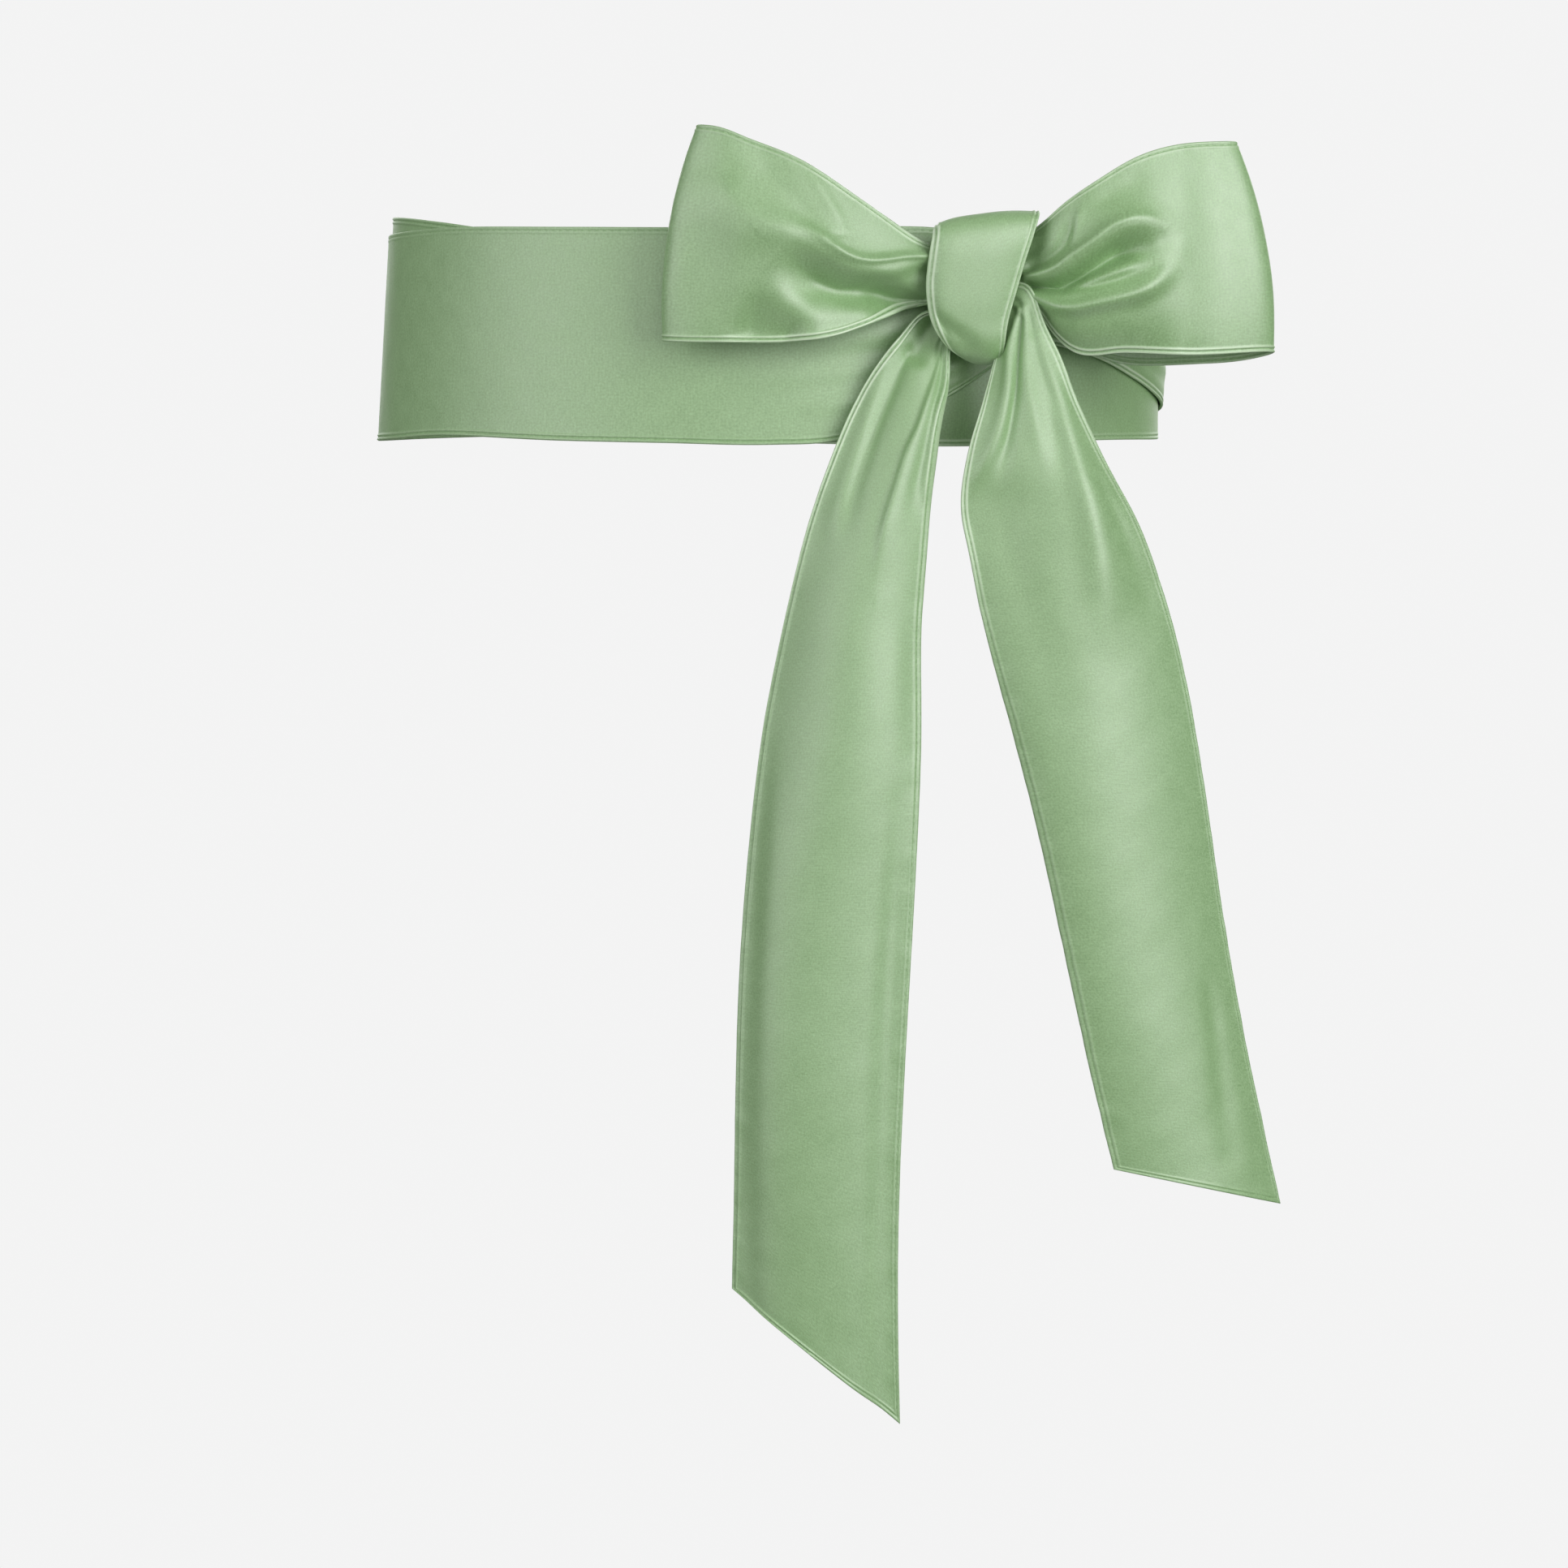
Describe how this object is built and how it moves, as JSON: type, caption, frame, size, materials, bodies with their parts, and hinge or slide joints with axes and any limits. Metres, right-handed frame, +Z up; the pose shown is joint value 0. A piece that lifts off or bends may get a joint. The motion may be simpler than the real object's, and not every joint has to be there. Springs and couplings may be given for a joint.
{
  "type": "satin sash tied in a bow",
  "caption": "Satin ribbon sash wound round a waist and tied at the front in a bow with hanging tails; the waist opening is left empty.",
  "frame": {"origin": "centre of the waist opening, at the middle of the band's height at the front", "axes": "+Z up, the wearer faces -Y, and the bow is at the wearer's front left, towards +X"},
  "size_m": [0.3029, 0.2307, 0.4174],
  "materials": {
    "satin": "satin"
  },
  "bodies": {
    "root": {"inner_turn": "satin", "outer_turn": "satin", "left_loop": "satin", "right_loop": "satin", "knot_wrap": "satin", "left_tail": "satin", "right_tail": "satin"}
  },
  "joints": []
}
